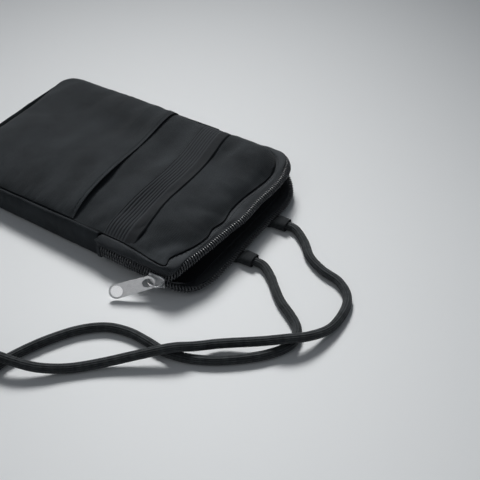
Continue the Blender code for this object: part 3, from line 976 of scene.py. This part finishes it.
PULL_PIVOT = Vector((-66.4, SLIDER_Y + 0.4, CHAIN_HEIGHT + 0.4))
PULL_DIRECTION = Vector((-0.643, 0.733, -0.226))
PULL_ROLL = 60.0
TIP_CENTRE = 21.4
DISH_CENTRE = 21.2
DISH_RADIUS = 3.6
DISH_PROFILE = ((0.0, 0.32), (1.4, 0.32), (2.8, 0.33), (3.25, 0.36), (3.5, 0.34), (3.62, 0.2))


def pull_matrix():
    """Place of the pull, modelled flat along X from its pivot, where it hangs at rest."""
    along = PULL_DIRECTION.normalized()
    upright = (UP - along.z * along).normalized()
    roll = math.radians(PULL_ROLL)
    face = math.cos(roll) * upright + math.sin(roll) * upright.cross(along)
    side = face.cross(along)
    return Matrix.Translation(MM * PULL_PIVOT) @ Matrix((along, side, face)).transposed().to_4x4()


def arc_points(centre, radii, start, end, step):
    """Points of an ellipse arc about (centre, 0), from one angle to another in degrees."""
    angles = [math.radians(a) for a in range(start, end, step)]
    return [(centre + radii[0] * math.cos(a), radii[1] * math.sin(a)) for a in angles]


def build_pull(metal, dish_metal_painted_bright):
    """Flat pull tab with an eye at the slider, and a pressed round dish at its free end."""
    tip = arc_points(TIP_CENTRE, (4.0, 4.0), -90, 91, 9)
    eye_end = arc_points(3.1, (3.4, 3.4), 90, 271, 9)
    eye = arc_points(3.8, (3.1, 2.5), 0, 360, 10)
    dish = arc_points(DISH_CENTRE, (DISH_RADIUS, DISH_RADIUS), 0, 360, 10)
    curve = bpy.data.curves.new("pull_plate", "CURVE")
    curve.dimensions = "2D"
    curve.fill_mode = "BOTH"
    curve.extrude = 0.31 * MM
    curve.bevel_depth = 0.19 * MM
    curve.bevel_resolution = 3
    for loop in (tip + eye_end, eye, dish):
        spline = curve.splines.new("POLY")
        spline.points.add(len(loop) - 1)
        spline.use_cyclic_u = True
        for knot, point in zip(spline.points, loop):
            knot.co = (point[0] * MM, point[1] * MM, 0.0, 1.0)
    plate = new_object("pull_plate", curve)
    plate.matrix_world = pull_matrix()
    finish_piece(plate, metal, "nickel_metal", "zip_pull", body="pull_tab")
    rows = []
    for k in range(48):
        angle = math.tau * k / 48
        row = []
        for radius, height in DISH_PROFILE:
            row.append((DISH_CENTRE + radius * math.cos(angle), radius * math.sin(angle), height))
        rows.append(row)
    pressed = grid_mesh("pull_dish", rows, closed=True)
    thicken(pressed, 0.45)
    pressed.matrix_world = pull_matrix()
    # The dish takes the brighter copy of the nickel, whose extra brightness is painted light.
    finish_piece(pressed, dish_metal_painted_bright, "nickel_metal", body="pull_tab")


TACK_TURNS = 6
TACK_STEPS = 16
TACK_LENGTH = 2.0


def build_bar_tacks(thread):
    """Each end of the chain is held by a bar tack: turns of sewing thread round both rows."""
    steps = TACK_TURNS * TACK_STEPS
    for node, name, side in (
        ("zip_stop_near", "bar_tack_near", -1.0),
        ("zip_stop_far", "bar_tack_far", 1.0),
    ):
        turns = []
        for i in range(steps + 1):
            angle = math.tau * i / TACK_STEPS
            x = side * CHAIN_HALF_WIDTH + 1.6 * signed_power(math.cos(angle), 0.7)
            y = TEETH_START + 1.6 - TACK_LENGTH * i / steps
            z = CHAIN_HEIGHT + 4.6 * signed_power(math.sin(angle), 0.7)
            turns.append(Vector((x, y, z)))
        tack = tube_mesh(name, turns, lambda angle: 0.3, 6)
        finish_piece(tack, thread, "zip_tape_weave", node)


# --- Cord tabs and tie ---

# Sections of a tab, from the back seam to its end: y, half width, lowest and highest z.
TAB_STATIONS = (
    (BACK_MOUTH - 0.4, 5.0, 0.15, 1.25),
    (-94.0, 5.0, 0.15, 1.3),
    (-97.0, 5.0, 0.15, 1.9),
    (-100.0, 4.9, 0.12, 5.2),
    (-104.5, 4.6, 0.1, 5.9),
    (-107.5, 4.4, 0.1, 5.9),
)


def build_tabs(ribbon):
    """Folded ribbons: flat where they are sewn in, and round the cord's ends in front."""
    for node, name, x in (
        ("cord_tab_near", "ribbon_tab_near", -TAB_X),
        ("cord_tab_far", "ribbon_tab_far", TAB_X),
    ):
        rows = []
        for k in range(36):
            angle = math.tau * k / 36
            row = []
            for i in range(41):
                y, half, low, high = along_profile(TAB_STATIONS, i / 40)
                power = mix(0.35, 0.75, smooth_step(high, 1.5, 5.0))
                across = half * signed_power(math.cos(angle), power)
                share = 0.5 + 0.5 * signed_power(math.sin(angle), power)
                row.append((x + across, y, mix(low, high, share)))
            rows.append(row)
        tab = grid_mesh(name, rows, closed=True)
        thicken(tab, 0.5, 1.0)
        finish_piece(tab, ribbon, "ribbon_cloth", node)


def build_tie(ribbon):
    """Ribbon round all turns of the coil, on the side away from the pouch."""
    rows = []
    for k in range(48):
        angle = math.tau * k / 48
        x = COIL_CENTRE[0] - 27.5 - 6.3 * signed_power(math.cos(angle), 0.7)
        z = 5.7 - 5.5 * signed_power(math.sin(angle), 0.8)
        rows.append([(x, COIL_CENTRE[1] - 4.0 + v, z) for v in range(9)])
    tie = grid_mesh("coil_tie", rows, closed=True)
    thicken(tie, 0.5, 1.0)
    finish_piece(tie, ribbon, "ribbon_cloth", "cord_tie")
    return tie


# --- Materials ---


def add_node(tree, kind, inputs=None, **settings):
    """New node; each of its inputs is given a number, a colour or another node's socket."""
    node = tree.nodes.new("ShaderNode" + kind)
    for key, value in settings.items():
        setattr(node, key, value)
    for key, value in (inputs or {}).items():
        if isinstance(value, bpy.types.NodeSocket):
            tree.links.new(value, node.inputs[key])
        else:
            node.inputs[key].default_value = value
    return node


def thread_source(tree):
    return add_node(tree, "Attribute", attribute_name="thread").outputs["Vector"]


def wave(tree, vector, direction, period):
    """Threads side by side, one for each period in millimetres."""
    inputs = {"Vector": vector, "Scale": 0.1 * math.pi / period, "Detail": 1.0}
    node = add_node(tree, "TexWave", inputs, wave_type="BANDS", bands_direction=direction)
    return node.outputs["Fac"]


def combine(tree, operation, a, b):
    """Result of one math node on two sockets or numbers."""
    return add_node(tree, "Math", {0: a, 1: b}, operation=operation).outputs["Value"]


def weighted_sum(tree, *parts):
    """Sum of sockets, each times its own weight."""
    total = 0.0
    for value, weight in parts:
        total = combine(tree, "ADD", combine(tree, "MULTIPLY", value, weight), total)
    return total


def noise_value(tree, vector, scale, detail=3.0):
    inputs = {"Vector": vector, "Scale": scale, "Detail": detail}
    return add_node(tree, "TexNoise", inputs).outputs["Fac"]


def colour_between(tree, factor, dark, light, low=0.3, high=0.7):
    ramp = add_node(tree, "ValToRGB", {"Fac": factor})
    ramp.color_ramp.elements[0].position = low
    ramp.color_ramp.elements[0].color = (*dark, 1.0)
    ramp.color_ramp.elements[1].position = high
    ramp.color_ramp.elements[1].color = (*light, 1.0)
    return ramp.outputs["Color"]


def new_material(name, roughness, metallic=0.0, sheen=0.0, specular=0.5):
    material = bpy.data.materials.new(name)
    material.use_nodes = True
    tree = material.node_tree
    shader = tree.nodes["Principled BSDF"]
    for key, value in (
        ("Roughness", roughness),
        ("Metallic", metallic),
        ("Sheen Weight", sheen),
        ("Sheen Roughness", 0.5),
        ("Specular IOR Level", specular),
    ):
        shader.inputs[key].default_value = value
    return material, tree, shader


def set_bump(tree, shader, height, strength, distance):
    inputs = {"Height": height, "Strength": strength, "Distance": distance}
    bump = add_node(tree, "Bump", inputs)
    tree.links.new(bump.outputs["Normal"], shader.inputs["Normal"])


def woven_material(name, dark, light, period, bump, roughness=0.85, sheen=0.06, twill=False):
    """Woven cloth: crossed threads over a slow cloudiness, which vary colour and height."""
    material, tree, shader = new_material(name, roughness, sheen=sheen, specular=0.18)
    vector = thread_source(tree)
    if twill:
        weave = wave(tree, vector, "DIAGONAL", period * 0.58)
    else:
        weave = combine(
            tree, "MULTIPLY", wave(tree, vector, "X", period), wave(tree, vector, "Y", period)
        )
    cloud = noise_value(tree, vector, 0.045, 4.0)
    fibre = noise_value(tree, vector, 1.6, 2.0)
    shade = weighted_sum(tree, (weave, 0.3), (cloud, 0.5), (fibre, 0.3))
    tree.links.new(colour_between(tree, shade, dark, light, 0.3, 0.75), shader.inputs["Base Color"])
    height = weighted_sum(tree, (weave, 1.0), (fibre, 0.6))
    set_bump(tree, shader, height, bump, 0.0002)
    return material


def webbing_material():
    """Elastic webbing: paler flat ribs with painted shade darkening the grooves between them, marked in
    the thread attribute.
    """
    dark, light = (0.003, 0.0038, 0.0048), (0.0095, 0.0112, 0.013)
    material = woven_material("elastic_knit", dark, light, 0.8, 0.5, sheen=0.03)
    tree = material.node_tree
    shader = tree.nodes["Principled BSDF"]
    ground = shader.inputs["Base Color"].links[0].from_socket
    # Low marks take the dark ground colour: on the plain selvedge this is its tone, and in the grooves it
    # is painted shade.
    tone_and_groove_shade_mark = add_node(tree, "SeparateXYZ", {"Vector": thread_source(tree)}).outputs["Z"]
    fade = add_node(tree, "MapRange", {"Value": tone_and_groove_shade_mark}).outputs["Result"]
    inputs = {"Fac": fade, "Color1": ground, "Color2": (0.031, 0.0348, 0.0395, 1.0)}
    ribbed = add_node(tree, "MixRGB", inputs)
    tree.links.new(ribbed.outputs["Color"], shader.inputs["Base Color"])
    return material


def braid_material():
    """Round braid: strands that cross both ways round the cord, over lines along it."""
    material, tree, shader = new_material("braided_cord", 0.8, sheen=0.08, specular=0.25)
    vector = thread_source(tree)
    parts = add_node(tree, "SeparateXYZ", {"Vector": vector})
    run, turn = parts.outputs["X"], parts.outputs["Y"]
    strands = [
        combine(tree, "SINE", weighted_sum(tree, (run, slope), (turn, CORD_STRANDS)), 0.0)
        for slope in (1.6, -1.6, 0.0)
    ]
    weave = combine(tree, "MAXIMUM", strands[0], strands[1])
    height = weighted_sum(tree, (weave, 0.4), (strands[2], 1.0))
    cloud = noise_value(tree, vector, 0.3, 3.0)
    shade = weighted_sum(tree, (height, 0.14), (cloud, 1.0))
    colour = colour_between(tree, shade, (0.012, 0.0145, 0.0165), (0.038, 0.043, 0.046), 0.3, 0.75)
    tree.links.new(colour, shader.inputs["Base Color"])
    set_bump(tree, shader, height, 0.5, 0.0003)
    return material


def nylon_material():
    material, tree, shader = new_material("nylon_coil", 0.3, specular=0.7)
    source = add_node(tree, "TexCoord").outputs["Object"]
    speck = noise_value(tree, source, 900.0, 2.0)
    colour = colour_between(tree, speck, (0.03, 0.032, 0.036), (0.085, 0.09, 0.097))
    tree.links.new(colour, shader.inputs["Base Color"])
    rough = add_node(tree, "MapRange", {"Value": speck, "To Min": 0.22, "To Max": 0.42})
    tree.links.new(rough.outputs["Result"], shader.inputs["Roughness"])
    return material


def metal_material(name, dark, light, low, high):
    """Plated metal, brushed along X, with its roughness between low and high."""
    material, tree, shader = new_material(name, low, metallic=1.0)
    source = add_node(tree, "TexCoord").outputs["Object"]
    inputs = {"Vector": source, "Scale": (900.0, 7000.0, 5000.0)}
    brushed = add_node(tree, "Mapping", inputs)
    grain = noise_value(tree, brushed.outputs["Vector"], 1.0, 2.0)
    cloud = noise_value(tree, source, 350.0, 3.0)
    mixed = weighted_sum(tree, (grain, 0.5), (cloud, 0.5))
    colour = colour_between(tree, mixed, dark, light)
    tree.links.new(colour, shader.inputs["Base Color"])
    rough = add_node(tree, "MapRange", {"Value": mixed, "To Min": low, "To Max": high})
    tree.links.new(rough.outputs["Result"], shader.inputs["Roughness"])
    set_bump(tree, shader, grain, 0.12, 0.0001)
    return material


# --- Everything together ---

FOLDS = simulate_folds()
CLOTH_BLACKS = ((0.008, 0.0102, 0.0122), (0.034, 0.0402, 0.0455))
LINING_BLACKS = ((0.010, 0.012, 0.015), (0.022, 0.025, 0.03))
TAPE_BLACKS = ((0.014, 0.016, 0.018), (0.054, 0.06, 0.066))
RIBBON_BLACKS = ((0.012, 0.014, 0.016), (0.03, 0.034, 0.037))


def build_all():
    cloth = woven_material("polyester_cloth", *CLOTH_BLACKS, period=0.7, bump=0.6)
    lining = woven_material("lining_weave", *LINING_BLACKS, period=0.4, bump=0.2, roughness=0.75)
    webbing = webbing_material()
    tape = woven_material("zip_tape_twill", *TAPE_BLACKS, period=0.8, bump=0.5, twill=True)
    ribbon = woven_material("ribbon_weave", *RIBBON_BLACKS, period=0.6, bump=0.5)
    nylon = nylon_material()
    metal = metal_material("nickel_plate", (0.55, 0.55, 0.56), (0.8, 0.8, 0.8), 0.22, 0.4)
    # The pull's dish gets its own, brighter copy of the nickel: the extra brightness is painted light,
    # standing in for the reflection that the dish catches.
    pressed = metal_material("dish_nickel_painted_bright", (0.94, 0.94, 0.95), (1.0, 1.0, 1.0), 0.14, 0.24)
    build_cord(braid_material(), build_tie(ribbon))
    build_front(cloth)
    build_pocket(cloth, ribbon)
    build_elastic(webbing)
    build_gusset(cloth)
    build_back(cloth)
    for upper in (True, False):
        build_tape(upper, tape)
        build_teeth(upper, nylon, ribbon)
    build_lining(lining)
    build_slider(metal)
    build_bail(metal)
    build_pull(metal, pressed)
    build_tabs(ribbon)
    build_bar_tacks(tape)


build_camera()
build_stage()
build_all()
